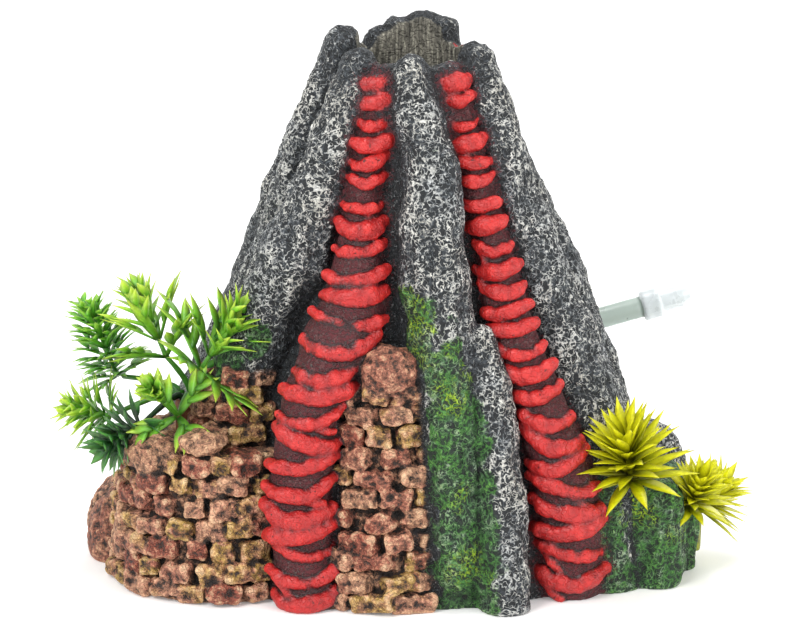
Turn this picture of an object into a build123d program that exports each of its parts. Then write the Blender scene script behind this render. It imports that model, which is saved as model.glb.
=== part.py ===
"""Bubbling volcano ornament for an aquarium.

A hollow resin casting of a ragged volcanic cone stands on an open rim. Two lava
streams run down its front between rock fingers, and courses of stone blocks
crowd its foot. An air stone hangs in the crater on a pipe that leaves through
the rear flank, where a short airline with a coupling is pushed on. Soft plastic
plants stand in two sockets, one on the left ledge and one on the right block.

Millimetres, +Z up, front towards -Y, origin at the middle of the foot.
"""
from build123d import *
import math
import os

os.makedirs("parts", exist_ok=True)

# ---- driving dimensions ----
WALL = 5.5
MOUTH_DEPTH = 30.0

# cone of the casting: height, centre x, centre y, half width, half depth
CONE = [
    (0, 2, 2, 60, 47),
    (30, 3, 1, 50, 41),
    (60, 4, 0, 41, 33),
    (90, 5, -2, 31, 26),
    (118, 5, -4, 22, 19.5),
    (136, 5, -5, 17.5, 16),
]

# rock fingers, top to foot: x, y, z, radius
FRONT_LEFT = [
    (-9, -15, 138, 4), (-15, -18, 118, 6.5), (-23, -18, 92, 9.5), (-34, -15, 68, 9), (-40, -14, 50, 9),
]
LEFT = [
    (-13, -5, 142, 4.5), (-21, -3, 120, 6), (-27, 1, 95, 7), (-38, 4, 65, 8), (-50, 8, 38, 10),
    (-58, 12, 0, 13),
]
FRONT = [(5, -21.5, 137, 4), (9.5, -25, 118, 6.5), (9.5, -30, 94, 8.5), (12, -33, 70, 8), (14, -37, 45, 7)]
FRONT_FOOT = [(24, -34, 68, 4.5), (28, -38, 46, 5.5), (29, -42, 22, 6.5), (29.5, -44, 0, 8)]
RIGHT = [
    (21.5, -11, 138, 4), (26, -14, 117, 6.5), (33, -14, 92, 8), (42, -16, 70, 8.5), (50, -18, 48, 9.5),
    (55, -18, 0, 12),
]
RIGHT_REAR = [(20, 1, 136, 4), (29, 4, 112, 6.5), (41, 5, 80, 8), (54, 6, 42, 10), (62, 7, 0, 13)]
REAR = [(8, 9, 144.3, 4.5), (10, 16, 120, 7), (12, 24, 90, 8), (14, 34, 52, 9), (16, 41, 0, 11.5)]
REAR_LEFT = [(-3, 8, 140, 4.5), (-9, 14, 115, 7), (-15, 21, 85, 8.5), (-22, 31, 48, 10), (-28, 39, 0, 13)]
LEFT_REAR = [(-12, 4, 137, 4), (-23, 9, 110, 6.5), (-34, 15, 75, 8.5), (-48, 23, 38, 11), (-57, 27, 0, 14)]
FINGERS = [FRONT_LEFT, LEFT, FRONT, FRONT_FOOT, RIGHT, RIGHT_REAR, REAR, REAR_LEFT, LEFT_REAR]

# lava beds, top to foot: x, y, z, half width
LEFT_BED = [
    (-5.5, -15, 133, 3.5), (-5.5, -20, 118, 4.5), (-8, -25, 92, 6.5), (-12, -31, 70, 9), (-21, -34, 50, 9),
    (-22, -37, 0, 9.5),
]
RIGHT_BED = [
    (15.5, -16, 133, 3.5), (19, -19, 118, 4.5), (25, -23, 92, 5.5), (32, -27, 68, 6.5), (38, -28, 48, 7.5),
    (46, -28, 0, 9.5),
]

# terraces of stone blocks: arc centre, arc radius, first and last angle, first height, courses, blocks in one
BLOCK_HEIGHT = 13.0
BLOCK_DEPTH = 12.0
COURSE_SETBACK = 1.2
UNEVEN_REACH = 1.2
UNEVEN_TURN = 6.0
UNEVEN_TILT = 4.0
LEFT_TERRACE = ((-46, -11), 26, (182, 292), 0, 3, 5)
UPPER_TERRACE = ((-39, -13), 12, (200, 280), 38, 1, 3)
MIDDLE_TERRACE = ((-2, -25), 19.5, (232, 308), 0, 4, 3)
TERRACES = [LEFT_TERRACE, UPPER_TERRACE, MIDDLE_TERRACE]

# boulders: x, y, z of the middle and the radius
BOULDER_TAPER = 26.0
BOULDERS = [
    (-61, -24, 34, 8),
    (-1.5, -37, 60, 8),
    (-68, 14, 7, 16),
    (69, 7, 23, 13),
    (50, -26, 20, 10),
    (75.3, -4.2, 0.5, 9.5),
]
MOSS_BLOCK = (61, -11)
MOSS_RADIUS = 17.5
MOSS_HEIGHT = 28.0
MOSS_TAPER = 5.0

# cuts through the casting: below the foot, down into each plant socket, and out along the air pipe
FOOT_CUT_WIDTH = 300.0
CUT_LENGTH = 60.0
OUTLET_CUT_START = 17.0

# air supply: a stone on a pipe that turns out through the rear right flank
CRATER = (5.0, -4.0)
STONE_RADIUS = 6.5
STONE_TOP = 126.0
STONE_LENGTH = 24.0
STONE_FILLET = 1.5
NIPPLE_DEPTH = 8.0
NIPPLE_LENGTH = 7.5
PIPE_RADIUS = 1.95
PIPE_BORE = 1.2
PIPE_LEVEL = 54.0
PIPE_BEND = 12.0
OUTLET_ANGLE = 45.0
OUTLET_REACH = 42.0
SPIGOT_LENGTH = 7.0
GROMMET_RADIUS = 4.4
GROMMET_LENGTH = 9.0
GROMMET_NOSE = 0.9
END_GAP = 0.05

# airline: its route swings from the outlet to the right and a little upward
TUBE_RADIUS = 3.0
TUBE_BORE = 2.0
TUBE_ROUTE = [(35.41, 26.41, 54.0), (44.74, 35.74, 54.0), (56.61, 41.28, 55.61), (69.89, 42.44, 59.18)]

# coupling in the airline's end
COLLAR_RADIUS = 4.3
COLLAR_LENGTH = 5.5
COLLAR_EDGE = 0.5
SOCKET_RADIUS = 3.2
SOCKET_LENGTH = 8.5
SOCKET_BORE = 2.0
SOCKET_DEPTH = 7.0
SOCKET_CHAMFER = 0.7
BARB_LENGTH = 9.0
BARB_TAPER = 2.5
LUG_SIZE = (2.4, 2.6, 3.0)
LUG_TURN = -50.0

# plants: each socket's x, y and ledge height, with its plug's height above the ledge
LEFT_PLUG = (-54.0, -9.0, 40.0, 7.0)
TOP_PLUG = (67.5, -12.0, 28.0, 2.0)
SIDE_PLUG = (79.5, -3.0, 9.0, 3.0)
PLUG_RADIUS = 3.9
PLUG_DEPTH = 6.0
PLUG_GAP = 0.05
PLUG_CHAMFER = 0.5
STEM_RADIUS = 0.8
STEM_GAP = 0.4
STEM_RISE = 4.0
STEM_ARC_SHARE = 0.8
ROOT_RING = 2.7
LEAF_THICKNESS = 0.8
LEAF_BELLY = 0.45
TIP_SHRINK = 0.25
TIP_LIFT = 20.0


def unit_step(index):
    """A repeatable uneven value from -1 to 1 for each whole number."""
    spread, scatter = 12.9898, 43758.5453
    return 2 * math.modf(math.sin(index * spread) * scatter)[0] % 2 - 1


def cone_solid(inset, bottom, mouth):
    """The cone drawn in by inset, from bottom up to its top station, with mouth added to the height."""
    with BuildPart() as cone:
        for index, (height, x, y, half_width, half_depth) in enumerate(CONE):
            level = bottom if index == 0 else height
            if index == len(CONE) - 1:
                level = height + mouth
            with BuildSketch(Plane((x, y, level))):
                Ellipse(half_width - inset, half_depth - inset)
        loft()
    return cone.part


def finger_solid(stations):
    """A tapering finger of rock through round sections, closed by a small rounded tip."""
    x, y, z, radius = stations[0]
    with BuildPart() as finger:
        with BuildSketch(Plane((x, y, z + radius * 0.6))):
            Circle(radius * 0.55)
        for x, y, z, radius in stations:
            with BuildSketch(Plane((x, y, z))):
                Circle(radius)
        loft()
    return finger.part


def terrace(middle, radius, angles, first, courses, per_course, seed):
    """Uneven stone blocks laid in courses along an arc, each course drawn in a little."""
    span = math.radians(angles[1] - angles[0]) * radius / per_course
    with BuildPart() as blocks:
        for course in range(courses):
            for number in range(per_course):
                key = seed + course * 17 + number * 5
                share = number + 0.5 + 0.25 * (course % 2) + 0.1 * unit_step(key)
                angle = angles[0] + (angles[1] - angles[0]) * share / (per_course + 0.25)
                reach = radius - COURSE_SETBACK * course + UNEVEN_REACH * unit_step(key + 1)
                x = middle[0] + reach * math.cos(math.radians(angle))
                y = middle[1] + reach * math.sin(math.radians(angle))
                low = first + BLOCK_HEIGHT * course
                tilt = 0 if low == 0 else UNEVEN_TILT * unit_step(key + 2)
                width = span * (0.98 + 0.06 * unit_step(key + 3))
                turn = angle + UNEVEN_TURN * unit_step(key + 4)
                with Locations(Pos(x, y, low + BLOCK_HEIGHT / 2) * Rot(tilt, tilt / 2, turn)):
                    Box(BLOCK_DEPTH, width, BLOCK_HEIGHT)
    return blocks.part


def ledges():
    """Round ledges behind the left terrace and under the right plant, and the plain boulders."""
    middle, radius, angles, first, courses, per_course = LEFT_TERRACE
    ledge_height = first + courses * BLOCK_HEIGHT + 1
    with BuildPart() as whole:
        with BuildSketch(Plane((*middle, 0))):
            RegularPolygon(radius, 11, rotation=7)
        extrude(amount=ledge_height)
        with BuildSketch(Plane((*MOSS_BLOCK, 0))):
            RegularPolygon(MOSS_RADIUS, 9, rotation=13)
        extrude(amount=MOSS_HEIGHT, taper=MOSS_TAPER)
        for number, (x, y, z, radius) in enumerate(BOULDERS):
            for amount in (radius, -radius):
                with BuildSketch(Plane((x, y, z))):
                    RegularPolygon(radius, 9, rotation=11 + 23 * number)
                extrude(amount=amount, taper=BOULDER_TAPER)
    return whole.part


def outlet_axis(reach):
    """A point on the outlet's axis at a distance from the crater's axis."""
    turn = math.radians(OUTLET_ANGLE)
    return (CRATER[0] + reach * math.cos(turn), CRATER[1] + reach * math.sin(turn), PIPE_LEVEL)


def casting():
    """The resin casting: cone, fingers, lava beds, terraces and ledges, hollow and open at both ends."""
    outlet = Plane(origin=outlet_axis(OUTLET_CUT_START), z_dir=outlet_direction())
    with BuildPart() as rock:
        add(cone_solid(0, 0, 0))
        for stations in FINGERS + [LEFT_BED, RIGHT_BED]:
            add(finger_solid(stations))
        for number, values in enumerate(TERRACES):
            add(terrace(*values, 100 * number))
        add(ledges())
        add(cone_solid(WALL, -1, MOUTH_DEPTH), mode=Mode.SUBTRACT)
        with BuildSketch(Plane.XY):
            Rectangle(FOOT_CUT_WIDTH, FOOT_CUT_WIDTH)
        extrude(amount=-CUT_LENGTH, mode=Mode.SUBTRACT)
        for x, y, ledge, proud in (LEFT_PLUG, TOP_PLUG, SIDE_PLUG):
            with BuildSketch(Plane((x, y, ledge - PLUG_DEPTH))):
                Circle(PLUG_RADIUS + PLUG_GAP)
            extrude(amount=CUT_LENGTH, mode=Mode.SUBTRACT)
        with BuildSketch(outlet):
            Circle(GROMMET_RADIUS)
        extrude(amount=CUT_LENGTH, mode=Mode.SUBTRACT)
    return rock.part


def outlet_direction():
    """The way the pipe leaves the casting."""
    turn = math.radians(OUTLET_ANGLE)
    return (math.cos(turn), math.sin(turn), 0)


def corner_radii(points):
    """The largest even arc that each corner of a route allows."""
    radii = []
    for before, corner, after in zip(points, points[1:], points[2:]):
        first = Vector(*corner) - Vector(*before)
        second = Vector(*after) - Vector(*corner)
        turn = math.radians(first.get_angle(second))
        radii.append(0.45 * min(first.length, second.length) / math.tan(turn / 2))
    return radii


def swept_tube(points, radius, bore, radii):
    """A round tube, or a rod when bore is 0, along straight runs joined by tangent arcs."""
    with BuildPart() as tube:
        with BuildLine() as route:
            FilletPolyline(*points, radius=radii)
        with BuildSketch(Plane(origin=route.line @ 0, z_dir=route.line % 0)):
            Circle(radius)
            if bore:
                Circle(bore, mode=Mode.SUBTRACT)
        sweep()
    return tube.part, route.wire()


def revolved(profile, plane):
    """A solid turned from a half section of radius and distance, about the plane's normal."""
    upright = Plane(origin=plane.origin, x_dir=plane.x_dir, z_dir=-plane.y_dir)
    with BuildPart() as turned:
        with BuildSketch(upright):
            with BuildLine():
                Polyline(*profile, close=True)
            make_face()
        revolve(axis=Axis(plane.origin, plane.z_dir))
    return turned.part


def air_stone():
    """The porous stone under the crater's mouth, with a rounded top and a socket for its nipple."""
    with BuildPart() as stone:
        with BuildSketch(Plane((*CRATER, STONE_TOP - STONE_LENGTH))):
            Circle(STONE_RADIUS)
        extrude(amount=STONE_LENGTH)
        fillet(stone.edges().group_by(Axis.Z)[-1], STONE_FILLET)
        with BuildSketch(Plane((*CRATER, STONE_TOP - STONE_LENGTH))):
            Circle(PIPE_RADIUS + END_GAP)
        extrude(amount=NIPPLE_DEPTH, mode=Mode.SUBTRACT)
    return stone.part


def air_pipe():
    """The rigid pipe from the stone down the crater and out to the rear spigot."""
    top = (*CRATER, STONE_TOP - STONE_LENGTH + NIPPLE_LENGTH)
    corner = (*CRATER, PIPE_LEVEL)
    end = outlet_axis(OUTLET_REACH + 1 + SPIGOT_LENGTH)
    return swept_tube([top, corner, end], PIPE_RADIUS, PIPE_BORE, [PIPE_BEND])[0]


def inlet_grommet():
    """The sealing ring between the pipe and the casting, ending just inside the tube's end."""
    plane = Plane(origin=outlet_axis(OUTLET_REACH - GROMMET_LENGTH), z_dir=outlet_direction())
    outer = GROMMET_RADIUS - END_GAP
    inner = PIPE_RADIUS + END_GAP
    profile = [(inner, 0), (outer, 0), (outer, GROMMET_LENGTH), (inner, GROMMET_LENGTH + GROMMET_NOSE)]
    return revolved(profile, plane)


def hose_connector(plane):
    """The airline coupling: a barb in the tube, a collar with a lug, and a chamfered socket."""
    back = -BARB_LENGTH
    tip = COLLAR_LENGTH + SOCKET_LENGTH
    floor = tip - SOCKET_DEPTH
    barb = TUBE_BORE - END_GAP
    slim = COLLAR_RADIUS - COLLAR_EDGE
    profile = [
        (PIPE_BORE, back), (barb - COLLAR_EDGE, back), (barb, back + BARB_TAPER), (barb, END_GAP),
        (slim, END_GAP), (COLLAR_RADIUS, END_GAP + COLLAR_EDGE),
        (COLLAR_RADIUS, COLLAR_LENGTH - COLLAR_EDGE), (slim, COLLAR_LENGTH),
        (SOCKET_RADIUS, COLLAR_LENGTH), (SOCKET_RADIUS, tip - SOCKET_CHAMFER),
        (SOCKET_RADIUS - SOCKET_CHAMFER, tip), (SOCKET_BORE, tip), (SOCKET_BORE, floor), (PIPE_BORE, floor),
    ]
    lug_place = plane.offset(COLLAR_LENGTH / 2).location * Rot(0, 0, LUG_TURN) * Pos(COLLAR_RADIUS, 0, 0)
    lug = lug_place * Box(*LUG_SIZE)
    with BuildPart() as connector:
        add(revolved(profile, plane))
        add(lug)
    return connector.part


def plant_plug(x, y, ledge, proud):
    """The tapered stub of a plant, seated in its socket."""
    with BuildPart() as plug:
        with BuildSketch(Plane((x, y, ledge - PLUG_DEPTH + END_GAP))):
            Circle(PLUG_RADIUS)
        extrude(amount=PLUG_DEPTH + proud)
        chamfer(plug.edges().group_by(Axis.Z)[-1], PLUG_CHAMFER)
    return plug.part


def leaf(length, width):
    """One flat pointed leaf, lying along X from the origin."""
    with BuildPart() as blade:
        with BuildSketch():
            with BuildLine():
                ThreePointArc((0, 0), (length * LEAF_BELLY, width / 2), (length, 0))
                ThreePointArc((length, 0), (length * LEAF_BELLY, -width / 2), (0, 0))
            make_face()
        extrude(amount=LEAF_THICKNESS / 2, both=True)
    return blade.part


def sprig(plug, root_angle, middle, tip, length, width, per_whorl, whorls, lift):
    """A soft stem from the plug's top with whorls of leaves from its middle to its tip."""
    x, y, ledge, proud = plug
    root_x = x + ROOT_RING * math.cos(math.radians(root_angle))
    root_y = y + ROOT_RING * math.sin(math.radians(root_angle))
    root_z = ledge + proud + STEM_GAP
    knee = (root_x, root_y, root_z + STEM_RISE)
    points = [(root_x, root_y, root_z), knee, middle, tip]
    radii = [radius * STEM_ARC_SHARE for radius in corner_radii(points)]
    stem = swept_tube(points, STEM_RADIUS, 0, radii)[0]
    blank = leaf(length, width)
    leaves = []
    for number in range(whorls):
        share = number / max(whorls - 1, 1)
        centre = Vector(*middle) + (Vector(*tip) - Vector(*middle)) * share
        axis = Plane(origin=centre, z_dir=Vector(*tip) - Vector(*middle))
        size = 1 - TIP_SHRINK * share
        for spoke in range(per_whorl):
            turn = 360 * (spoke + 0.5 * (number % 2)) / per_whorl
            place = axis.location * Rot(0, 0, turn) * Rot(0, -lift - TIP_LIFT * share, 0)
            leaves.append(place * scale(blank, size))
    with BuildPart() as whole:
        add(stem)
        add(leaves)
    return whole.part


# sprigs: plug, root angle, end of the bare stem, tip, leaf length and width, leaves in a whorl, whorls, lift
SPRIGS = {
    "green_sprig_tall": (LEFT_PLUG, 330, (-52, -19, 65), (-48, -22, 78), 9.0, 3.4, 6, 4, 25),
    "green_sprig_middle": (LEFT_PLUG, 90, (-64, -6, 62), (-67, -6, 75), 8.5, 3.2, 6, 4, 25),
    "green_sprig_frond": (LEFT_PLUG, 140, (-76, 10, 57), (-84, 12, 66), 7.0, 2.4, 8, 3, 15),
    "green_sprig_front": (LEFT_PLUG, 270, (-56, -26, 54.5), (-56, -30.5, 60), 6.5, 3.2, 6, 2, 25),
    "green_sprig_low": (LEFT_PLUG, 185, (-80, -2, 49), (-86, 1, 41), 8.4, 3.4, 6, 4, 20),
    "green_sprig_dark": (LEFT_PLUG, 228, (-71, -24, 49), (-74, -30, 47), 6.5, 3.4, 6, 2, 20),
    "yellow_rosette_top": (TOP_PLUG, 270, (68, -29, 42), (67.5, -34, 45), 11.8, 3.4, 9, 2, 20),
    "yellow_rosette_side": (SIDE_PLUG, 270, (80, -15, 22), (84, -17, 24), 7.5, 3.0, 7, 2, 20),
    "yellow_rosette_low": (SIDE_PLUG, 0, (86, 1, 17.5), (88, 1, 21.5), 6.2, 3.0, 7, 2, 28),
}

pieces = {}
pieces["rock_casting"] = casting()
pieces["air_stone"] = air_stone()
pieces["air_pipe"] = air_pipe()
pieces["inlet_grommet"] = inlet_grommet()
route_radii = corner_radii(TUBE_ROUTE)
pieces["air_tube"], tube_line = swept_tube(TUBE_ROUTE, TUBE_RADIUS, TUBE_BORE, route_radii)
tube_end = Plane(origin=tube_line @ 1, z_dir=tube_line % 1)
pieces["hose_connector"] = hose_connector(tube_end)
pieces["green_plant_plug"] = plant_plug(*LEFT_PLUG)
pieces["yellow_plant_top_plug"] = plant_plug(*TOP_PLUG)
pieces["yellow_plant_side_plug"] = plant_plug(*SIDE_PLUG)
for sprig_name, sprig_values in SPRIGS.items():
    pieces[sprig_name] = sprig(*sprig_values)

for piece_name, piece in pieces.items():
    piece.label = piece_name
    export_step(piece, f"parts/{piece_name}.step")

tube_section = math.pi * (TUBE_RADIUS ** 2 - TUBE_BORE ** 2)
tube_volume = pieces["air_tube"].volume
print("airline radii", [round(radius, 1) for radius in route_radii])
print("airline length", round(tube_line.length, 1))
print("airline volume", round(tube_volume, 1))
print("section times length", round(tube_section * tube_line.length, 1))
print("airline end", [round(value, 2) for value in tube_end.origin])
print("airline way out", [round(value, 4) for value in tube_end.z_dir])
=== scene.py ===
import math

import bpy
import numpy as np
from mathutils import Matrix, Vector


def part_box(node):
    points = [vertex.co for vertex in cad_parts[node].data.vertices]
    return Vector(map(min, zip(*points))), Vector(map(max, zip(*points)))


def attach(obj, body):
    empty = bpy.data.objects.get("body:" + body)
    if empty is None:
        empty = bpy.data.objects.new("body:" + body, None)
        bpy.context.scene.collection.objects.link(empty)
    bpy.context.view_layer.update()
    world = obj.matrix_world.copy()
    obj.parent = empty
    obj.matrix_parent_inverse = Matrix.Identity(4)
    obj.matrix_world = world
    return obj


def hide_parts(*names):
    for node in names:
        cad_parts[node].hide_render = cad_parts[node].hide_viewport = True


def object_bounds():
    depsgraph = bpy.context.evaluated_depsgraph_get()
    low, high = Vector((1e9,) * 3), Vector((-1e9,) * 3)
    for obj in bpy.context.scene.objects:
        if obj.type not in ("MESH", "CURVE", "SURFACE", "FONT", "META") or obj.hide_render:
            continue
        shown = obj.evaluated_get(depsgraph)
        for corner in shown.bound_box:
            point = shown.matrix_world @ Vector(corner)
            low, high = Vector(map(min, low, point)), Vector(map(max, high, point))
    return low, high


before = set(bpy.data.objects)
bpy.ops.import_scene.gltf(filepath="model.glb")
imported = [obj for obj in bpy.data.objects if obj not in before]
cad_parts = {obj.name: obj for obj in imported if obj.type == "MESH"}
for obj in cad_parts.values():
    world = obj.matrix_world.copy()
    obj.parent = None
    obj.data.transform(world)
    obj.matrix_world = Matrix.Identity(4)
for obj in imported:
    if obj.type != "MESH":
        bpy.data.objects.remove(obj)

import openvdb
from mathutils import Matrix, Vector

# Bubbling volcano ornament. The painted resin casting is modelled as a distance field on a
# grid: rounded forms are merged into it, the field becomes one skin, and the skin is pitted,
# given its paint masks and cut into pieces. Shapes are in millimetres from the frame's origin,
# which is the middle of the ornament's foot; MM turns them into metres.

MM = 0.001
cad_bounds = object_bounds()
FOOT = np.array([0, 0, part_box("rock_casting")[0][2]])


def to_metres(points):
    """Millimetres about the foot into metres in the frame."""
    return np.asarray(points, dtype=float) * MM + FOOT


def box_mm(node):
    """A CAD node's low and high corners, in millimetres about the foot."""
    return [(np.array(corner) - FOOT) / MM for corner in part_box(node)]


def hand_over(piece, body, node):
    """Say which body a piece rides, which CAD node it stands for."""
    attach(piece, body)
    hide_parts(node)


# ---------------------------------------------------------------- camera

CAMERA_DISTANCE = 750 * MM
CAMERA_RISE = math.radians(14)
CAMERA_TARGET = (0, -17.5, 72)
CAMERA_LENS = 132
CAMERA_SENSOR = 36


def add_camera():
    """The long-lens view from the front, a little above the crater."""
    target = Vector(to_metres(CAMERA_TARGET))
    data = bpy.data.cameras.new("camera")
    data.lens = CAMERA_LENS
    data.sensor_width = CAMERA_SENSOR
    data.clip_start = 0.01
    camera = bpy.data.objects.new("camera", data)
    offset = Vector((0, -math.cos(CAMERA_RISE), math.sin(CAMERA_RISE))) * CAMERA_DISTANCE
    camera.location = target + offset
    camera.rotation_euler = offset.to_track_quat("Z", "Y").to_euler()
    bpy.context.collection.objects.link(camera)
    bpy.context.scene.camera = camera


# ---------------------------------------------------------------- noise

SEED = 7
_random = np.random.default_rng(SEED)
_order = _random.permutation(256)
_order = np.concatenate([_order, _order])
_values = _random.random(256) * 2 - 1


def lattice_hash(cell):
    """A repeatable whole number from 0 to 255 for each lattice cell."""
    x, y, z = (cell[..., axis].astype(np.int64) & 255 for axis in range(3))
    return _order[(_order[(_order[x] + y) & 255] + z) & 255]


def noise(points, size, seed=0):
    """Smooth value noise from -1 to 1, with bumps about size apart."""
    scaled = points / size + seed * 17.31
    cell = np.floor(scaled)
    part = scaled - cell
    part = part * part * (3 - 2 * part)
    total = np.zeros(len(points))
    for corner in range(8):
        step = np.array([corner & 1, corner >> 1 & 1, corner >> 2 & 1])
        weight = np.prod(np.where(step == 1, part, 1 - part), axis=-1)
        total += weight * _values[lattice_hash(cell + step)]
    return total


def layered_noise(points, size, layers, seed=0):
    """Noise with finer and weaker layers added."""
    total = np.zeros(len(points))
    for layer in range(layers):
        total += noise(points, size / 2 ** layer, seed + layer) / 2 ** layer
    return total


def cell_distance(points, size, seed=0):
    """Distances to the nearest and second nearest of one random point per cell, in cells."""
    scaled = points / size + seed * 9.7
    cell = np.floor(scaled)
    nearest = np.full(len(points), 9.0)
    second = np.full(len(points), 9.0)
    for number in range(27):
        step = np.array([number % 3, number // 3 % 3, number // 9]) - 1
        corner = cell + step
        key = lattice_hash(corner)
        offset = np.stack([_values[key], _values[(key + 85) & 255], _values[(key + 170) & 255]], axis=-1)
        distance = np.linalg.norm(corner + 0.5 + 0.45 * offset - scaled, axis=-1)
        second = np.minimum(second, np.maximum(nearest, distance))
        nearest = np.minimum(nearest, distance)
    return nearest, second


# ---------------------------------------------------------------- distance field

VOXEL = 0.6
GRID_LOW = np.array([-90.0, -57.0, -3.0])
GRID_HIGH = np.array([90.0, 57.0, 151.0])
GRID_SIZE = np.ceil((GRID_HIGH - GRID_LOW) / VOXEL).astype(int) + 1
FAR = 6.0


class Field:
    """The distance, in millimetres, to the forms of one kind of surface."""

    def __init__(self):
        self.grid = np.full(GRID_SIZE, FAR, dtype=np.float32)

    def window(self, low, high):
        """The part of the grid that a box touches, and its coordinates along each axis."""
        first = np.clip(np.floor((np.asarray(low) - FAR - GRID_LOW) / VOXEL).astype(int), 0, GRID_SIZE - 1)
        last = np.clip(np.ceil((np.asarray(high) + FAR - GRID_LOW) / VOXEL).astype(int) + 1, 1, GRID_SIZE)
        axes = [GRID_LOW[a] + VOXEL * np.arange(first[a], last[a]) for a in range(3)]
        x, y, z = (axes[0][:, None, None], axes[1][None, :, None], axes[2][None, None, :])
        region = tuple(slice(first[a], last[a]) for a in range(3))
        return region, x.astype(np.float32), y.astype(np.float32), z.astype(np.float32)

    def merge(self, region, distance, blend):
        """Join a new form to the field with a fillet of about the blend size."""
        old = self.grid[region]
        share = np.clip(0.5 + 0.5 * (distance - old) / blend, 0, 1)
        self.grid[region] = distance + (old - distance) * share - blend * share * (1 - share)

    def limb(self, stations, blend=1.5):
        """A round form along stations of x, y, z and radius."""
        for start, end in zip(stations, stations[1:]):
            start, end = np.array(start, dtype=float), np.array(end, dtype=float)
            reach = max(start[3], end[3])
            low = np.minimum(start[:3], end[:3]) - reach
            high = np.maximum(start[:3], end[:3]) + reach
            region, x, y, z = self.window(low, high)
            along = end[:3] - start[:3]
            dx, dy, dz = x - start[0], y - start[1], z - start[2]
            share = (dx * along[0] + dy * along[1] + dz * along[2]) / max(along @ along, 1e-6)
            share = np.clip(share, 0, 1)
            gap = np.sqrt(
                (dx - share * along[0]) ** 2 + (dy - share * along[1]) ** 2 + (dz - share * along[2]) ** 2)
            self.merge(region, gap - (start[3] + (end[3] - start[3]) * share), blend)

    def block(self, middle, half, turn, rounding=1.0, blend=0.3):
        """A rounded block: its middle, half sizes and turn in degrees about X, Y and Z."""
        reach = float(np.linalg.norm(half))
        middle = np.array(middle, dtype=float)
        region, x, y, z = self.window(middle - reach, middle + reach)
        rotation = Matrix.Rotation(
            math.radians(turn[2]), 3, "Z") @ Matrix.Rotation(math.radians(turn[1]), 3, "Y")
        rotation = np.array(rotation @ Matrix.Rotation(math.radians(turn[0]), 3, "X"))
        dx, dy, dz = x - middle[0], y - middle[1], z - middle[2]
        outside, inside = 0, -FAR
        for axis in range(3):
            way = rotation[:, axis]
            part = np.abs(dx * way[0] + dy * way[1] + dz * way[2]) - (half[axis] - rounding)
            outside = outside + np.maximum(part, 0) ** 2
            inside = np.maximum(inside, part)
        self.merge(region, np.sqrt(outside) + np.minimum(inside, 0) - rounding, blend)

    def boulder(self, middle, half, blend=1.0):
        """An egg-shaped form: its middle and its three half sizes."""
        middle, half = np.array(middle, dtype=float), np.array(half, dtype=float)
        region, x, y, z = self.window(middle - half, middle + half)
        ratio = np.sqrt(
            (
                (x - middle[0]) / half[0]
            ) ** 2 + ((y - middle[1]) / half[1]) ** 2 + ((z - middle[2]) / half[2]) ** 2)
        self.merge(region, (ratio - 1) * half.min(), blend)

    def drum(self, middle, low_radius, high_radius, bottom, top, blend=1.0):
        """An upright round form with a flat top."""
        reach = max(low_radius, high_radius)
        region, x, y, z = self.window(
            (middle[0] - reach, middle[1] - reach, bottom), (middle[0] + reach, middle[1] + reach, top))
        radius = low_radius + (high_radius - low_radius) * np.clip((z - bottom) / (top - bottom), 0, 1)
        side = np.sqrt((x - middle[0]) ** 2 + (y - middle[1]) ** 2) - radius
        self.merge(region, np.maximum(side, np.abs(z - (bottom + top) / 2) - (top - bottom) / 2), blend)

    def cone(self, sections, inset, blend=1.0):
        """A stack of oval sections of height, middle x and y, and half width and depth."""
        region, x, y, z = self.window(GRID_LOW + FAR, GRID_HIGH - FAR)
        heights = [section[0] for section in sections]
        level = z[0, 0]
        middle_x, middle_y, wide, deep = (
            np.interp(level, heights, [section[index] for section in sections]).astype(np.float32)
            for index in range(1, 5))
        ratio = np.sqrt(((x - middle_x) / (wide - inset)) ** 2 + ((y - middle_y) / (deep - inset)) ** 2)
        self.merge(region, (ratio - 1) * (deep - inset) * 0.95, blend)

    def sample(self, points):
        """The field at points, by straight lines between the grid's values."""
        scaled = (points - GRID_LOW) / VOXEL
        cell = np.clip(np.floor(scaled).astype(int), 0, GRID_SIZE - 2)
        part = scaled - cell
        total = np.zeros(len(points))
        for corner in range(8):
            step = np.array([corner & 1, corner >> 1 & 1, corner >> 2 & 1])
            weight = np.prod(np.where(step == 1, part, 1 - part), axis=-1)
            index = cell + step
            total += weight * self.grid[index[:, 0], index[:, 1], index[:, 2]]
        return total


# ---------------------------------------------------------------- forms of the casting

# height, middle x, middle y, half width, half depth
CONE = [
    (-3, 2, 2, 60, 47), (0, 2, 2, 60, 47), (30, 3, 1, 50, 41), (60, 4, 0, 41, 33),
    (90, 5, -2, 31, 26), (118, 5, -4, 22, 19.5), (136, 5, -5, 17.5, 16),
]
CAVITY = CONE[:-1] + [(118, 5, -4, 20, 17.5), (151, 5, -5, 19, 16)]
CONE_TOP = 137.0
WALL = 5.5
CRATER_FLOOR = 112

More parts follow.
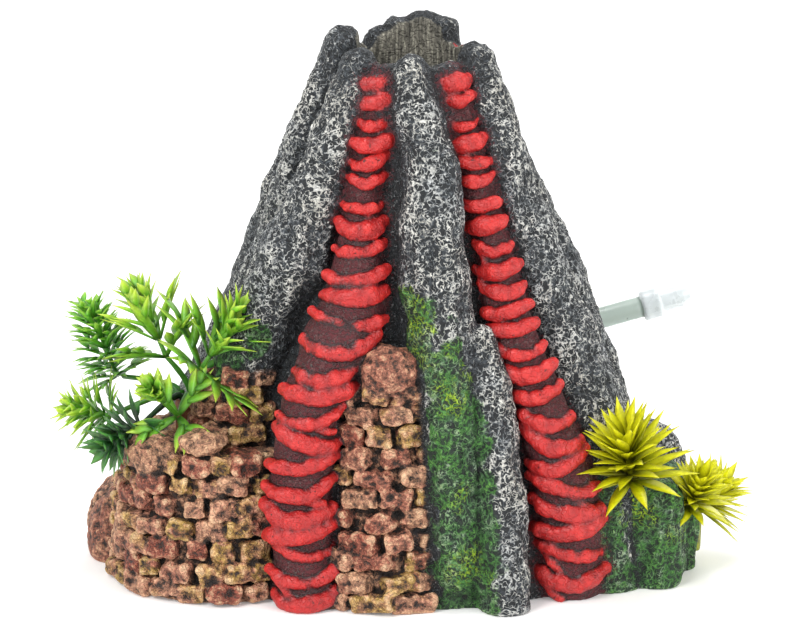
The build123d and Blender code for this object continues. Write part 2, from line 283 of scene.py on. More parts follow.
# rock fingers, top to foot: x, y, z, radius
FINGERS = {
    "front_left": [
        (-9, -15, 137, 4.3), (-11, -17, 128, 5.4), (-15, -18, 116, 6.5), (-19, -19, 103, 8),
        (-25, -18, 88, 9.5), (-33, -16, 70, 9.5), (-40, -15, 52, 9)],
    "left": [
        (-13, -5, 141, 4.6), (-16, -4, 131, 5), (-22, -3, 116, 6.2), (-26, 0, 98, 7), (-31, 2, 82, 7),
        (-39, 4, 63, 8), (-50, 8, 36, 10), (-58, 12, 4, 13)],
    "front": [
        (4.8, -21, 135, 5.2), (7, -23.5, 124, 6), (9.5, -26, 112, 6.8), (9.8, -29, 98, 8),
        (10.5, -31, 84, 8.5), (12, -33, 70, 8), (14, -37, 45, 7), (16, -40, 10, 7)],
    "front_foot": [
        (22.5, -32.5, 69, 3.4), (24.5, -34.5, 58, 4.6), (26.5, -37, 44, 5.2), (28, -39.5, 26, 5.8),
        (28.5, -42, 8, 6.6), (29, -43, -2, 6.8)],
    "right": [
        (21.5, -11, 138, 4.3), (24, -13, 127, 5.6), (28, -14.5, 112, 6.8), (32, -15, 96, 8),
        (38, -16, 80, 8.3), (44.5, -17, 65, 8.5), (51, -18, 46, 9.5), (55, -20, 20, 10), (56, -21, 0, 11)],
    "right_rear": [
        (20, 1, 136, 4.2), (26, 3, 118, 6), (34, 5, 97, 7.5), (43, 5, 76, 8.3), (51, 6, 52, 9),
        (58, 7, 22, 11), (62, 7, 0, 13)],
    "rear": [
        (8, 9.5, 142.5, 5.2), (9, 12, 131, 6), (10, 16, 118, 7), (12, 24, 90, 8), (14, 33, 56, 9),
        (16, 40, 8, 10.5), (16, 41, -2, 11)],
    "rear_middle": [
        (3, 10, 131, 4), (-1, 19, 104, 5.6), (-4, 28, 70, 6.6), (-6, 35, 34, 7.6), (-7, 40, -2, 9)],
    "rear_left": [
        (-3, 8, 139, 4.6), (-7, 12, 123, 6), (-12, 18, 102, 7.5), (-17, 24, 78, 8.5), (-22, 31, 48, 10),
        (-28, 38, 8, 12), (-28, 39, -2, 12)],
    "left_rear": [
        (-12, 4, 136, 4.2), (-19, 7, 120, 6), (-27, 11, 98, 7.5), (-35, 16, 74, 8.5), (-48, 23, 38, 11),
        (-56, 27, 6, 13), (-57, 27, -2, 13)],
    "rear_right": [
        (17, 7, 134, 4), (24, 15, 104, 6), (33, 24, 68, 7), (42, 33, 26, 9), (46, 36, -2, 11)],
}
CRATER_CHIPS = [
    (-5, 6, 136, 3.8), (15, 5, 137, 3.4), (1, 12, 137, 3.6), (-9, 0, 137, 3.2), (14, -17, 134, 3),
    (-3, -19, 133, 3), (22, -5, 133, 3.4)]

# the broad slab at the back of the crater: middle and half sizes
REAR_SLAB = ((7.6, 9.2, 131), (9.6, 4.0, 14.6))

# lava beds, top to foot: x, y, z, half width
LEFT_BED = [
    (-4.4, -18, 134, 3.4), (-5.5, -22, 118, 4.4), (-7.6, -24.6, 104, 5.2), (-8.6, -27, 92, 6.2),
    (-9.8, -30, 79, 8.6), (-13.6, -33, 68, 10.2), (-20.5, -36, 54, 8.2), (-22.6, -37.5, 42, 8.6),
    (-24.6, -38, 29, 8.4), (-23, -38.5, 14, 8.6), (-21.5, -38, 0, 9.6)]
RIGHT_BED = [
    (15.4, -17, 134, 3.4), (19.2, -20, 118, 4), (21.8, -22, 105, 4.8), (25.6, -25, 92, 5),
    (28.4, -27, 79, 5.9), (32.4, -29, 66, 6.2), (37, -30, 54, 6.8), (41, -30.5, 42, 7.8),
    (44.6, -30.5, 29, 8.8), (45.4, -30, 14, 9.2), (46.2, -30, 0, 9.2)]
RIB_PITCH = 5.7

# stone terraces: arc middle, arc radius at the foot, angles, first height, courses, course height,
# stones in a course, and how far each course leans in
LEFT_TERRACE = ((-45, -11), 31.0, (176, 296), 0.0, 7, 5.6, 8, 0.6)
UPPER_TERRACE = ((-39, -14), 14.5, (178, 300), 39.5, 4, 4.8, 3, 0.9)
MIDDLE_TERRACE = ((-2, -26), 22.5, (228, 312), 0.0, 11, 5.35, 3, 0.68)

# egg-shaped stones and ledges: middle and half sizes
STONES = [
    ((-61, -27, 37), (9, 8, 5.5)),
    ((-1.2, -37.5, 62), (7.6, 7, 6.6)),
    ((-49, -33, 42), (6, 6, 3.5)),
    ((-69, 13, 6), (15, 15, 14)),
    ((-75, 3, 3), (8, 11, 14)),
]
ROCKS = [
    ((70, 8, 16), (10.5, 12, 20)),
    ((72, 14, 0), (11, 16, 12)),
    ((50, -25, 16), (8, 8, 20)),
]


def drift(key):
    """A repeatable uneven value from -1 to 1."""
    return float(_values[int(key * 37 + 11) & 255])


def bed_at(bed, height):
    """The middle and half width of a lava bed at a height."""
    heights = [station[2] for station in bed][::-1]
    return [
        float(np.interp(height, heights, [station[index] for station in bed][::-1])) for index in (0, 1, 3)]


def build_lava(bed_field, rib_field, bed, seed):
    """The flow's dark bed, and over it fat crescents that sag in the middle and thin out at their ends."""
    bed_field.limb([(x, y + 1.2, z, half - 0.8) for x, y, z, half in bed], 1.0)
    height = bed[0][2] - 1.0
    number = 0
    while height > 2.5:
        key = seed + number * 3
        x, y, half = bed_at(bed, height)
        sag = half * (0.24 + 0.16 * drift(key))
        thick = 1.55 + 0.085 * half + 0.60 * drift(key + 1)
        reach = half * (0.95 + 0.10 * drift(key + 12))
        slant = 0.26 * half * drift(key + 2)
        stations = []
        for step in range(9):
            across = -1 + step / 4
            bulge = math.sqrt(max(1 - (across * 0.93) ** 2, 0))
            wobble = 0.55 * drift(key + step + 5)
            stations.append((
                x + across * reach,
                y - half * 0.80 * bulge + 0.55 - 0.4 * wobble,
                height + sag * (across ** 2 - 0.45) + slant * across + 0.7 * wobble,
                thick * (0.50 + 0.50 * bulge) + 0.25 * wobble))
        rib_field.limb(stations, 0.5)
        if drift(key + 4) > 0.25 and half > 5:
            branch = stations[1:4] if drift(key + 6) > 0 else stations[5:8]
            fork = [
                (px, py - 0.2, pz - RIB_PITCH * 0.28 * (place + 1), pr * 0.6) for place,
                (px, py, pz, pr) in enumerate(branch)]
            rib_field.limb(fork, 0.6)
        height -= RIB_PITCH * (1 + 0.24 * drift(key + 7)) * (0.86 + 0.02 * half)
        number += 1


def with_tint(field, tints, place, tint, form, *sizes):
    """Add a form to the field, and tint the part of the grid that it changes."""
    reach = float(np.linalg.norm(sizes[0]))
    region = field.window(np.array(place) - reach, np.array(place) + reach)[0]
    before = field.grid[region].copy()
    form(place, *sizes)
    tints[region][field.grid[region] < before - 0.02] = tint


def build_terrace(field, tints, values, seed):
    """Courses of uneven weathered stones along an arc, each course set back from the one below."""
    middle, radius, angles, first, courses, course_height, count, lean = values
    for course in range(courses):
        share = 0.5 * (course % 2)
        for number in range(count):
            key = seed + course * 29 + number * 7
            angle = angles[0] + (angles[1] - angles[0]) * (
                number + share + 0.14 * drift(key)) / (count - 0.5)
            turn = math.radians(angle)
            reach = radius - lean * course + 0.8 * drift(key + 1)
            width = math.radians(angles[1] - angles[0]) * reach / count
            half = (
                4.2 + 0.9 * drift(key + 2),
                width * (0.45 + 0.12 * drift(key + 3)),
                course_height * (0.45 + 0.06 * drift(key + 4)))
            place = (
                middle[0] + (reach - half[0]) * math.cos(turn),
                middle[1] + (reach - half[0]) * math.sin(turn),
                first + course_height * (course + 0.5) + 0.5 * drift(key + 5))
            tilt = (9 * drift(key + 6), 7 * drift(key + 8), angle + 12 * drift(key + 9))
            with_tint(field, tints, place, 0.5 + 0.5 * drift(key + 10), field.block, half, tilt, 1.05, 0.3)


def build_fields():
    """The distance fields of rock, lava, stones and moss, the bare cone's, and the tint of each stone."""
    fields = {kind: Field() for kind in (*KINDS, "cone")}
    tints = np.full(GRID_SIZE, 0.5, dtype=np.float32)
    rock = fields["rock"]
    rock.cone(CONE, 0)
    fields["cone"].grid = rock.grid.copy()
    rock.grid = np.maximum(
        rock.grid, (GRID_LOW[2] + VOXEL * np.arange(GRID_SIZE[2]) - CONE_TOP).astype(np.float32))
    for stations in FINGERS.values():
        rock.limb(stations, 2.2)
    for x, y, z, radius in CRATER_CHIPS:
        rock.limb([(x, y, z - 14, radius + 1.6), (x, y, z, radius)], 1.5)
    for middle, half in ROCKS:
        rock.boulder(middle, half, 2.0)
    rock.block(*REAR_SLAB, (0, 0, -4), 2.6, 1.0)
    stone = fields["stone"]
    for seed, values in enumerate((LEFT_TERRACE, UPPER_TERRACE, MIDDLE_TERRACE)):
        middle, radius, angles, first, courses, course_height, count, lean = values
        top = first + courses * course_height
        stone.drum(middle, radius - 2.6, radius - lean * courses - 2.6, first - 3, top - 1, 0.5)
        build_terrace(stone, tints, values, 40 * seed + 3)
    for number, (middle, half) in enumerate(STONES):
        with_tint(stone, tints, middle, 0.45 + 0.25 * drift(number), stone.boulder, half, 0.8)
    build_lava(fields["lava"], fields["rib"], LEFT_BED, 5)
    build_lava(fields["lava"], fields["rib"], RIGHT_BED, 90)
    moss = fields["moss"]
    moss.block((62, -12, 12), (16, 15, 16.5), (0, 0, -12), 6, 1.5)
    moss.block((67, -5, 8), (12.5, 12, 14), (0, 0, 20), 5, 1.5)
    return fields, tints


# ---------------------------------------------------------------- skin of the casting

KINDS = ("rock", "lava", "rib", "stone", "moss")
SOCKETS = ("green_plant_plug", "yellow_plant_top_plug", "yellow_plant_side_plug")


def carve(total):
    """Hollow the casting, cut its foot flat, and drill the plant sockets and the pipe's outlet."""
    hollow = Field()
    hollow.grid[:] = 40
    hollow.cone(CAVITY, WALL, 0.01)
    total.grid = np.maximum(total.grid, -hollow.grid)
    heights = (GRID_LOW[2] + VOXEL * np.arange(GRID_SIZE[2])).astype(np.float32)
    total.grid = np.maximum(total.grid, -heights)
    for node in SOCKETS:
        low, high = box_mm(node)
        middle = (low + high) / 2
        hole = Field()
        hole.drum(
            middle, (high[0] - low[0]) / 2 + 0.1, (high[0] - low[0]) / 2 + 0.1, low[2], high[2] + 30, 0.01)
        region = hole.window(low - 2, (high[0] + 2, high[1] + 2, high[2] + 32))[0]
        total.grid[region] = np.maximum(total.grid[region], -hole.grid[region])
    low, high = box_mm("inlet_grommet")
    way = np.array([1, 1, 0]) / math.sqrt(2)
    middle = (low + high) / 2
    bore = Field()
    radius = (high[2] - low[2]) / 2
    bore.limb([(*(middle - way * 8), radius), (*(middle + way * 16), radius)], 0.01)
    region = bore.window(middle - 26, middle + 26)[0]
    total.grid[region] = np.maximum(total.grid[region], -bore.grid[region])
    return hollow


def smoothed(points, first, second, degree, rounds):
    """Points moved to the mean of their neighbours a number of times."""
    result = points
    for _ in range(rounds):
        total = np.zeros_like(result)
        for axis in range(3):
            total[:, axis] = np.bincount(
                first, result[second, axis], len(points)
            ) + np.bincount(second, result[first, axis], len(points))
        result = 0.4 * result + 0.6 * total / degree[:, None]
    return result


def face_normals_to_points(points, quads):
    """The normal at each point, from the faces that meet there."""
    across = points[quads[:, 2]] - points[quads[:, 0]]
    other = points[quads[:, 3]] - points[quads[:, 1]]
    normals = np.cross(across, other)
    total = np.zeros_like(points)
    for corner in range(4):
        for axis in range(3):
            total[:, axis] += np.bincount(quads[:, corner], normals[:, axis], len(points))
    return total / np.maximum(np.linalg.norm(total, axis=1), 1e-12)[:, None]


def near(points, spots, seed):
    """How far points lie inside soft, ragged-edged spots of x, y, z and radius, from 0 to 1."""
    result = np.zeros(len(points))
    ragged = 2.6 * layered_noise(points, 5.0, 3, seed)
    for x, y, z, radius in spots:
        gap = np.linalg.norm(points - np.array([x, y, z]), axis=1) - radius + ragged
        result = np.maximum(result, np.clip(0.5 - gap / 3.0, 0, 1))
    return result


MOSS_SPOTS = [
    (3, -36, 79, 6), (7, -38, 72, 7), (12, -40, 64, 7), (16, -42, 58, 7), (17, -43, 52, 8),
    (17, -44, 42, 8),
    (18, -45, 32, 8), (18, -46, 22, 9), (19, -47, 12, 9), (19, -48, 2, 9), (54, -29, 27, 6),
    (54, -30, 16, 8), (55, -31, 4, 9), (-52, -28, 44, 6), (-46, -20, 60, 7), (-50, -8, 46, 8),
    (-34, -28, 66, 5), (30, -44, 62, 3),
    (-56, 6, 36, 9), (62, 14, 30, 9), (-42, 38, 6, 13), (-30, 42, 2, 10), (20, 48, 4, 12), (30, 44, 8, 9),
    (46, 36, 6, 11),
]
LIME_SPOTS = [
    (3, -36, 79, 7), (8, -39, 71, 8), (15, -42, 58, 6), (-52, -30, 43, 5), (17, -46, 30, 4),
    (19, -48, 12, 5), (64, -28, 22, 5), (74, -24, 14, 4)]
RED_SPOTS = [(-14, -9, 132, 2.6), (16, 2, 140, 3.2)]


def relief_of(points, normals, first, second, degree, rounds):
    """How far each point stands out from the surface around it."""
    return np.einsum("ij,ij->i", points - smoothed(points, first, second, degree, rounds), normals)


def weathering(points, weights, inside, crater):
    """How far the folds, grain and pits of each kind of surface push its points out."""
    rock, lava, rib, stone, moss = weights.T
    stretched = points * np.array([1, 1, 0.35])
    fold = layered_noise(stretched, 5.5, 3, 1)
    grain = layered_noise(points, 2.6, 2, 4)
    nearest, further = cell_distance(
        points + 0.5 * np.stack([grain, np.roll(grain, 1), grain], axis=1), 2.2, 2)
    coral = np.clip(1 - (further - nearest) * 2.2, 0, 1)
    stone_nearest = cell_distance(points, 3.1, 5)[0]
    lava_fold = layered_noise(points * np.array([0.5, 1, 1]), 3.4, 2, 9)
    veins = np.abs(layered_noise(stretched + 3 * np.sin(points[:, :1] / 4), 4.0, 2, 12))
    lumps = layered_noise(points, 3.2, 3, 6)
    streaks = layered_noise(points * np.array([1, 0.4, 0.12]), 1.5, 2, 15)
    push = rock * (0.75 * fold + 0.30 * grain + 0.34 * (coral - 0.4))
    push += lava * (0.45 * fold + 0.20 * grain)
    push += rib * (0.34 * lava_fold + 0.26 * grain)
    push += stone * (0.60 * lumps + 0.35 * grain + 0.85 * (stone_nearest - 0.45))
    push += moss * (0.7 * fold + 0.9 * (0.3 - veins) + 0.3 * grain)
    push = np.where(inside, 0.15 * fold, push)
    push = np.where(crater, 0.42 * streaks, push)
    return push


def build_skin():
    """The casting's skin: its points in millimetres, quads, normals and paint masks."""
    fields, tints = build_fields()
    total = Field()
    total.grid = fields["rock"].grid.copy()
    everything = (slice(None),) * 3
    for kind in KINDS[1:]:
        total.merge(everything, fields[kind].grid, 0.7)
    hollow = carve(total)
    volume = openvdb.FloatGrid()
    volume.background = FAR
    volume.copyFromArray(np.ascontiguousarray(np.clip(total.grid, -FAR, FAR)))
    points, quads = volume.convertToQuads(0.0)
    points = points.astype(float) * VOXEL + GRID_LOW
    quads = quads.astype(np.int64)
    first = quads.ravel()
    second = np.roll(quads, -1, axis=1).ravel()
    degree = np.bincount(first, minlength=len(points)) + np.bincount(second, minlength=len(points))
    normals = face_normals_to_points(points, quads)
    outward = total.sample(points + normals * 0.6) - total.sample(points - normals * 0.6)
    if outward.mean() < 0:
        quads = quads[:, ::-1]
        normals = -normals
    distances = np.stack([fields[kind].sample(points) for kind in KINDS], axis=1)
    closest = distances.min(axis=1, keepdims=True)
    weights = np.clip(1 - (distances - closest) / 0.9, 0, 1) ** 2
    weights /= weights.sum(axis=1, keepdims=True)
    on_hollow = hollow.sample(points) < 0.5
    inside = on_hollow & (points[:, 2] < CRATER_FLOOR)
    crater = on_hollow & (points[:, 2] >= CRATER_FLOOR)
    lava, rib, stone, moss = weights.T[1:]
    push = weathering(points, weights, inside, crater)
    push *= np.clip(points[:, 2] / 2.0, 0, 1)
    moved = points + normals * push[:, None]
    moved[:, 2] = np.maximum(moved[:, 2], 0)
    normals = face_normals_to_points(moved, quads)
    flow = np.clip(lava + rib, 0, 1)
    masks = {
        "lava": flow, "rib": rib, "stone": stone,
        "crest": np.clip((distances[:, 1] - distances[:, 2]) / 1.9, 0, 1),
        "splash": np.clip(1 - distances[:, 1:3].min(axis=1) / 4.0, 0, 1) * (1 - stone),
        "proud": np.clip(fields["cone"].sample(points) / FAR, 0, 1),
        "crater": crater.astype(float),
        "fine_relief": relief_of(moved, normals, first, second, degree, 6),
        "broad_relief": relief_of(moved, normals, first, second, degree, 60),
        "tint": np.zeros(len(points)),
        "inside": inside.astype(float),
        "moss": np.clip(
            np.maximum(moss, near(moved, MOSS_SPOTS, 3) * (1 - flow) * (1 - 0.75 * stone)), 0, 1),
        "lime": near(moved, LIME_SPOTS, 6),
        "red": near(moved, RED_SPOTS, 9) * (1 - flow),
    }
    index = np.clip(np.round((points - GRID_LOW) / VOXEL).astype(int), 0, GRID_SIZE - 1)
    masks["tint"] = tints[index[:, 0], index[:, 1], index[:, 2]].astype(float)
    return moved, quads, normals, masks


# ---------------------------------------------------------------- meshes

def new_object(name, points, faces, materials, smooth=True):
    """A mesh object from points in metres."""
    mesh = bpy.data.meshes.new(name)
    mesh.from_pydata([tuple(point) for point in points], [], [tuple(face) for face in faces])
    for material in materials:
        mesh.materials.append(material)
    mesh.polygons.foreach_set("use_smooth", [smooth] * len(mesh.polygons))
    mesh.update()
    piece = bpy.data.objects.new(name, mesh)
    bpy.context.collection.objects.link(piece)
    return piece


def add_mask(piece, name, values):
    """A named value at each point, for the materials to read."""
    layer = piece.data.attributes.new(name, "FLOAT", "POINT")
    layer.data.foreach_set("value", np.asarray(values, dtype=np.float32))


def skin_zones(middles, inside):
    """Which piece of the skin each face belongs to."""
    x, y, z = middles.T
    zone = np.where(y < -4, "cone_front", "cone_back").astype("<U16")
    low = z < 60
    zone[low & (x < -30)] = "left_terraces"
    zone[low & (x >= -30) & (y < 5)] = "middle_foot"
    zone[low & (x > 34) & (y < 20)] = "right_foot"
    zone[low & (x >= -30) & (y >= 5) & ~((x > 34) & (y < 20))] = "back_foot"
    zone[inside & (z < 125)] = "hollow_inside"
    return zone


def add_skin(material):
    """Cut the casting's skin into its pieces, each with smooth normals and paint masks."""
    points, quads, normals, masks = build_skin()
    zones = skin_zones(points[quads].mean(axis=1), masks["inside"][quads].mean(axis=1) > 0.5)
    metres = to_metres(points)
    for zone in np.unique(zones):
        faces = quads[zones == zone]
        used, flat = np.unique(faces, return_inverse=True)
        piece = new_object(f"rock_{zone}", metres[used], flat.reshape(faces.shape), [material])
        for name, values in masks.items():
            add_mask(piece, name, values[used])
        piece.data.normals_split_custom_set_from_vertices([tuple(normal) for normal in normals[used]])
        hand_over(piece, "ornament", "rock_casting")


# ---------------------------------------------------------------- materials

class Nodes:
    """Short ways to build a material's nodes."""

    def __init__(self, name):
        self.material = bpy.data.materials.new(name)
        self.material.use_nodes = True
        self.tree = self.material.node_tree
        self.shader = self.tree.nodes["Principled BSDF"]
        self.place = self.tree.nodes.new("ShaderNodeTexCoord").outputs["Object"]

    def add(self, kind, **settings):
        node = self.tree.nodes.new(kind)
        for key, value in settings.items():
            setattr(node, key, value)
        return node

    def join(self, source, target):
        if isinstance(source, (int, float, tuple)):
            target.default_value = source
        else:
            self.tree.links.new(source, target)

    def mask(self, name):
        return self.add("ShaderNodeAttribute", attribute_name=name).outputs["Fac"]

    def noise(self, size, detail=4.0, rough=0.6, place=None):
        """Noise from 0 to 1 with bumps about size millimetres apart."""
        node = self.add("ShaderNodeTexNoise")
        node.inputs["Scale"].default_value = 1 / (size * MM)
        node.inputs["Detail"].default_value = detail
        node.inputs["Roughness"].default_value = rough
        self.join(place or self.place, node.inputs["Vector"])
        return node.outputs["Fac"]

    def cells(self, size):
        """The distance to the nearest of points about size millimetres apart."""
        node = self.add("ShaderNodeTexVoronoi")
        node.inputs["Scale"].default_value = 1 / (size * MM)
        self.join(self.place, node.inputs["Vector"])
        return node.outputs["Distance"]

    def worms(self, size, width, place=None):
        """Winding ridges about size apart, from 0 between them to 1 on their crests."""
        level = self.math("ABSOLUTE", self.minus(self.noise(size, 1.0, 0.5, place=place), 0.5))
        return self.span(level, 0.01, width, 1.0, 0.0)

    def stretched(self, *factors):
        """Places drawn out along an axis, for streaks."""
        node = self.add("ShaderNodeVectorMath", operation="MULTIPLY")
        self.join(self.place, node.inputs[0])
        node.inputs[1].default_value = factors
        return node.outputs[0]

    def wander(self, amount, size):
        """Places shaken by noise, so that cells lose their straight edges."""
        cloud = self.add("ShaderNodeTexNoise")
        cloud.inputs["Scale"].default_value = 1 / (size * MM)
        self.join(self.place, cloud.inputs["Vector"])
        shift = self.add("ShaderNodeVectorMath", operation="MULTIPLY_ADD")
        self.join(cloud.outputs["Color"], shift.inputs[0])
        shift.inputs[1].default_value = (amount * MM,) * 3
        self.join(self.place, shift.inputs[2])
        return shift.outputs[0]

    def math(self, kind, first, second=0.0):
        node = self.add("ShaderNodeMath", operation=kind)
        for target, source in zip(node.inputs, (first, second)):
            self.join(source, target)
        return node.outputs[0]

    def plus(self, first, second):
        return self.math("ADD", first, second)

    def minus(self, first, second):
        return self.math("SUBTRACT", first, second)

    def times(self, first, second):
        return self.math("MULTIPLY", first, second)

    def larger(self, first, second):
        return self.math("MAXIMUM", first, second)

    def span(self, value, low, high, to_low=0.0, to_high=1.0):
        """A value taken from one range to another, with its ends held."""
        node = self.add("ShaderNodeMapRange")
        for target, source in zip(node.inputs, (value, low, high, to_low, to_high)):
            self.join(source, target)
        return node.outputs[0]

    def ramp(self, value, stops):
        """Colours along a value: pairs of place and colour."""
        node = self.add("ShaderNodeValToRGB")
        elements = node.color_ramp.elements
        while len(elements) < len(stops):
            elements.new(0.5)
        for element, (place, colour) in zip(elements, stops):
            element.position = place
            element.color = (*colour, 1)
        self.join(value, node.inputs[0])
        return node.outputs[0]

    def mix(self, share, first, second, blend="MIX"):
        node = self.add("ShaderNodeMix", data_type="RGBA", blend_type=blend)
        node.inputs["Factor"].default_value = 1.0
        self.join(share, node.inputs["Factor"])
        for target, source in zip((node.inputs[6], node.inputs[7]), (first, second)):
            self.join((*source, 1) if isinstance(source, tuple) else source, target)
        return node.outputs[2]

    def bump(self, height, distance, strength=1.0):
        node = self.add("ShaderNodeBump")
        node.inputs["Distance"].default_value = distance * MM
        node.inputs["Strength"].default_value = strength
        self.join(height, node.inputs["Height"])
        self.join(node.outputs[0], self.shader.inputs["Normal"])

    def set(self, **values):
        for key, value in values.items():
            self.join(
                (*value, 1) if isinstance(value, tuple) else value,
                self.shader.inputs[key.replace("_", " ")])
        return self.material


def painted_resin():
    """The casting's paint: grey dry-brushed rock, red lava, bronzed stones and moss, from its masks."""
    n = Nodes("painted_resin")
    shaken = n.wander(0.9, 1.6)
    worms = n.worms(1.35, 0.085, shaken)
    broad_worms = n.worms(2.3, 0.10, shaken)
    stipple = n.noise(0.75, 3.0, 0.65)
    grit = n.minus(stipple, 0.5)
    fine = n.mask("fine_relief")
    broad = n.mask("broad_relief")
    colour = rock_paint(n, worms, broad_worms, grit, fine, broad)
    colour = n.mix(n.mask("stone"), colour, stone_paint(n, worms, grit, fine))
    ragged = n.plus(n.times(n.minus(n.noise(3.0, 5.0, 0.7), 0.5), 1.9), n.times(worms, 0.25))
    moss_edge = n.span(n.plus(n.mask("moss"), ragged), 0.50, 0.95)
    moss_edge = n.times(moss_edge, n.span(n.noise(6.0, 4.0, 0.65), 0.36, 0.56, 0.55, 1.0))
    colour = n.mix(moss_edge, colour, moss_paint(n, worms, broad_worms, stipple, fine))
    bed = n.ramp(
        n.plus(worms, n.noise(4.0)),
        [(0.45, (0.006, 0.005, 0.006)), (0.8, (0.022, 0.019, 0.019)), (1.0, (0.085, 0.075, 0.070))])
    wash = n.span(n.noise(4.5, 3.0), 0.48, 0.66, 0.0, 0.40)
    colour = n.mix(n.mask("lava"), colour, n.mix(wash, bed, (0.09, 0.008, 0.010)))
    splash = n.span(n.plus(n.mask("splash"), n.times(grit, 2.2)), 0.62, 0.95, 0.0, 0.62)
    colour = n.mix(splash, colour, (0.13, 0.010, 0.016))
    rib_edge = n.span(n.plus(n.mask("rib"), n.times(grit, 0.7)), 0.42, 0.66)
    colour = n.mix(rib_edge, colour, lava_paint(n, fine, grit))
    red_edge = n.span(n.plus(n.mask("red"), n.times(n.minus(n.noise(1.5), 0.5), 0.8)), 0.5, 0.7)
    colour = n.mix(red_edge, colour, (0.42, 0.02, 0.02))
    streaks = n.noise(0.8, 3.0, 0.6, place=n.stretched(1.0, 1.0, 0.10))
    wall = n.ramp(
        streaks, [(0.3, (0.035, 0.033, 0.028)), (0.52, (0.16, 0.15, 0.12)), (0.72, (0.42, 0.40, 0.32))])
    colour = n.mix(n.mask("crater"), colour, wall)
    bare = n.ramp(n.noise(3.0), [(0.3, (0.030, 0.027, 0.025)), (0.7, (0.085, 0.078, 0.072))])
    colour = n.mix(n.mask("inside"), colour, bare)
    roughness = n.minus(n.span(stipple, 0.3, 0.7, 0.62, 0.82), n.times(rib_edge, 0.30))
    height = n.plus(n.times(worms, 0.7), n.times(stipple, 0.7))
    calm = n.minus(1.0, n.times(rib_edge, 0.75))
    n.bump(n.times(height, calm), 0.80, 1.0)
    return n.set(Base_Color=colour, Roughness=roughness)


def rock_paint(n, worms, broad_worms, grit, fine, broad):
    """Blue-grey base coat, made near black in the pits and grooves by painted shade, and dry-brushed white on
    the crests of the fingers.
    """
    crest = n.plus(n.times(n.mask("proud"), 0.55), n.times(broad, 0.30))
    crest = n.span(n.plus(crest, n.times(fine, 0.9)), 0.05, 0.95)
    patch = n.span(n.noise(11.0, 3.0), 0.36, 0.62)
    pattern = n.plus(n.larger(worms, n.times(broad_worms, 0.8)), n.times(grit, 1.1))
    cover = n.times(n.span(crest, 0.34, 1.0, 0.14, 1.0), n.span(patch, 0.0, 1.0, 0.55, 1.0))
    brush = n.span(n.minus(n.plus(pattern, n.times(cover, 0.85)), 1.0), 0.0, 0.42)
    brush = n.times(brush, n.span(cover, 0.0, 0.6, 0.35, 1.0))
    # painted shade: the real dark base coat is darkened towards near black where the surface lies low (pits,
    # grooves, between the fingers) and is left blue-grey where it stands out
    slate_and_groove_shade = n.ramp(n.plus(n.times(crest, 0.40), n.times(pattern, 0.55)),
                   [
                       (0.10, (0.005, 0.006, 0.007)), (0.40, (0.012, 0.015, 0.018)),
                       (0.66, (0.052, 0.062, 0.072)), (0.95, (0.12, 0.135, 0.14))])
    bone = n.ramp(
        n.noise(14.0, 3.0),
        [(0.3, (0.40, 0.42, 0.43)), (0.55, (0.66, 0.65, 0.60)), (0.75, (0.44, 0.42, 0.36))])
    return n.mix(brush, slate_and_groove_shade, bone)


def lava_paint(n, fine, grit):
    """Two reds on the ribs, a near-black wine red round their edges (the red paint thinning out there, plus
    painted shadow where the ribs rise from the bed), black in their pits and a brighter rubbed crest.
    """
    level = n.plus(n.span(fine, -0.35, 0.45), n.times(n.minus(n.noise(5.0), 0.5), 0.5))
    red = n.ramp(
        level,
        [
            (0.10, (0.050, 0.004, 0.005)), (0.36, (0.28, 0.008, 0.009)), (0.72, (0.52, 0.018, 0.016)),
            (1.0, (0.62, 0.045, 0.036))])
    # painted shadow: the ribs' edges turn near black where they rise from the dark bed. This is partly the
    # red paint thinning out and partly shade painted in.
    rim = n.span(n.plus(n.mask("crest"), n.times(grit, 0.9)), 0.24, 0.70)
    red = n.mix(rim, (0.020, 0.003, 0.004), red)
    pits = n.span(n.plus(n.noise(1.6, 4.0), n.times(grit, 0.4)), 0.26, 0.36)
    return n.mix(pits, (0.03, 0.004, 0.004), red)


def stone_paint(n, worms, grit, fine):
    """Dark umber with bronze, pink, ochre and brick red rubbed on the raised parts."""
    hue = n.plus(n.mask("tint"), n.times(n.minus(n.noise(6.0), 0.5), 0.9))
    bronze = n.ramp(hue, [(0.05, (0.36, 0.080, 0.045)), (0.3, (0.54, 0.21, 0.13)), (0.5, (0.62, 0.33, 0.19)),
                          (0.70, (0.56, 0.24, 0.15)), (0.90, (0.50, 0.31, 0.06)),
                          (1.0, (0.38, 0.12, 0.07))])
    height = n.plus(n.times(fine, 1.7), n.times(grit, 1.5))
    height = n.plus(height, n.times(worms, 0.22))
    rubbed = n.span(height, -0.16, 0.50)
    gleam = n.span(height, 0.30, 1.0, 0.0, 0.70)
    bronze = n.mix(gleam, bronze, (0.86, 0.62, 0.38))
    umber = n.ramp(
        n.span(fine, -0.4, 0.25),
        [(0.0, (0.006, 0.004, 0.003)), (0.6, (0.035, 0.018, 0.012)), (1.0, (0.09, 0.042, 0.026))])
    return n.mix(rubbed, umber, bronze)


def moss_paint(n, worms, broad_worms, stipple, fine):
    """Bottle green with paler green on its grain and lime rubbed on its veins."""
    level = n.plus(n.times(n.larger(worms, broad_worms), 0.55), n.times(n.span(fine, -0.3, 0.4), 0.45))
    green = n.ramp(
        level,
        [
            (0.15, (0.004, 0.011, 0.005)), (0.42, (0.014, 0.050, 0.014)), (0.74, (0.050, 0.175, 0.030)),
            (1.0, (0.18, 0.38, 0.07))])
    patch = n.times(n.mask("lime"), n.span(n.noise(5.0, 4.0, 0.65), 0.36, 0.60))
    lime = n.times(patch, n.span(n.plus(stipple, n.times(worms, 0.35)), 0.55, 0.85))
    return n.mix(lime, green, (0.34, 0.50, 0.015))


